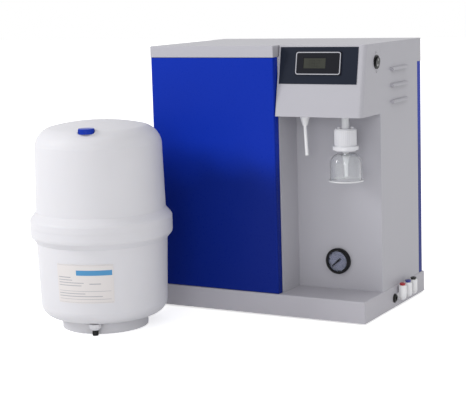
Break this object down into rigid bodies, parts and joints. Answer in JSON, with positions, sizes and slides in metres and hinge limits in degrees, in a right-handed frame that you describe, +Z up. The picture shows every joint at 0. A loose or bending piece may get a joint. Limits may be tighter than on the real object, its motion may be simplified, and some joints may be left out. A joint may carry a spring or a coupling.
{
  "type": "ultrapure water system",
  "caption": "Bench water purifier cabinet with open dispensing recess, spout, capsule filter with clear bell, dial gauge and display, with its free-standing domed storage tank.",
  "frame": {"origin": "middle of the whole set at bench level", "axes": "+X right along the front, +Y back, +Z up"},
  "size_m": [0.641, 0.6334, 0.54],
  "materials": {
    "grey_paint": "satin powder coat",
    "blue_paint": "gloss",
    "base_paint": "satin powder coat",
    "foot_rubber": "matte",
    "black_panel": "satin",
    "meter_black": "matte",
    "lcd_window": "gloss",
    "switch_black": "satin",
    "screw_steel": "plain",
    "gauge_black": "gloss",
    "gauge_dial": "printed",
    "gauge_needle": "matte",
    "clear_lens": "polished",
    "white_fitting": "satin",
    "white_tube": "satin",
    "capsule_white": "satin",
    "clear_plastic": "polished",
    "gland_black": "satin",
    "collet_red": "satin",
    "collet_blue": "satin",
    "collet_black": "satin",
    "board_zinc": "plain",
    "housing_white": "satin",
    "clip_white": "satin",
    "supply_metal": "plain",
    "circuit_green": "solder mask",
    "pump_black": "satin",
    "cartridge_blue": "satin",
    "valve_black": "satin",
    "tank_white": "satin moulded",
    "diaphragm_rubber": "matte",
    "brass_stem": "turned",
    "cap_blue": "satin",
    "knob_black": "satin",
    "label_print": "printed film"
  },
  "bodies": {
    "cabinet": {"base_tray": "base_paint", "base_floor": "base_paint", "foot_1": "foot_rubber", "foot_2": "foot_rubber", "foot_3": "foot_rubber", "foot_4": "foot_rubber", "left_side_panel": "grey_paint", "right_side_panel": "grey_paint", "rear_cover": "blue_paint", "top_cover": "grey_paint", "recess_liner": "grey_paint", "head_shell": "grey_paint", "display_plate": "black_panel", "meter_housing": "meter_black", "meter_window": "lcd_window", "switch_bezel": "switch_black", "switch_screw_1": "screw_steel", "switch_screw_2": "screw_steel", "gauge_case": "gauge_black", "gauge_dial": "gauge_dial", "gauge_lens": "clear_lens", "spout_nut": "white_fitting", "spout_tube": "white_tube", "outlet_tube": "clear_plastic", "filter_capsule": "capsule_white", "filter_stem": "clear_plastic", "cable_gland": "gland_black", "gland_lock_nut": "gland_black", "elbow_1": "white_fitting", "elbow_2": "white_fitting", "elbow_3": "white_fitting", "mounting_board": "board_zinc", "membrane_housing": "housing_white", "membrane_case_clip": "clip_white", "prefilter": "housing_white", "prefilter_clip": "clip_white", "power_supply": "supply_metal", "control_board": "circuit_green", "pump_head": "pump_black", "pump_motor": "pump_black", "pump_saddle": "pump_black", "polishing_cartridge_1": "cartridge_blue", "polishing_cartridge_2": "cartridge_blue", "solenoid_valve": "valve_black", "tank_base_ring": "tank_white", "tank_lower_shell": "tank_white", "tank_upper_shell": "tank_white", "tank_diaphragm": "diaphragm_rubber", "tank_air_valve": "brass_stem", "tank_outlet": "tank_white", "tank_label": "label_print"},
    "front_panel": {"front_panel": "blue_paint"},
    "rocker": {"switch_rocker": "switch_black"},
    "needle": {"gauge_needle": "gauge_needle"},
    "bell": {"filter_bell": "clear_plastic"},
    "red_collet": {"collet_red": "collet_red"},
    "blue_collet": {"collet_blue": "collet_blue"},
    "black_collet": {"collet_black": "collet_black"},
    "air_cap": {"tank_air_cap": "cap_blue"},
    "outlet_knob": {"tank_outlet_knob": "knob_black"}
  },
  "joints": [
    {"name": "front_panel_pull", "type": "slide", "parent": "cabinet", "child": "front_panel", "axis": [0, -1, 0], "range_m": [0, 0.03]},
    {"name": "rocker_tilt", "type": "hinge", "parent": "cabinet", "child": "rocker", "pos_m": [0.30005, 0.0745, 0.5043], "axis": [0, 1, 0], "range_deg": [-16, 0]},
    {"name": "needle_turn", "type": "hinge", "parent": "cabinet", "child": "needle", "pos_m": [0.20705, 0.0917, 0.1035], "axis": [0, 1, 0], "range_deg": [0, 260]},
    {"name": "bell_pull", "type": "slide", "parent": "cabinet", "child": "bell", "axis": [0, 0, -1], "range_m": [0, 0.02]},
    {"name": "red_collet_press", "type": "slide", "parent": "cabinet", "child": "red_collet", "axis": [0, 0, -1], "range_m": [0, 0.0015], "stiffness_N_per_m": 300},
    {"name": "blue_collet_press", "type": "slide", "parent": "cabinet", "child": "blue_collet", "axis": [0, 0, -1], "range_m": [0, 0.0015], "stiffness_N_per_m": 300},
    {"name": "black_collet_press", "type": "slide", "parent": "cabinet", "child": "black_collet", "axis": [0, 0, -1], "range_m": [0, 0.0015], "stiffness_N_per_m": 300},
    {"name": "air_cap_lift", "type": "slide", "parent": "cabinet", "child": "air_cap", "axis": [0, 0, 1], "range_m": [0, 0.014]},
    {"name": "outlet_knob_turn", "type": "hinge", "parent": "cabinet", "child": "outlet_knob", "pos_m": [-0.14365, -0.26784, 0.01], "axis": [0, 0, 1], "range_deg": [0, 90]}
  ]
}
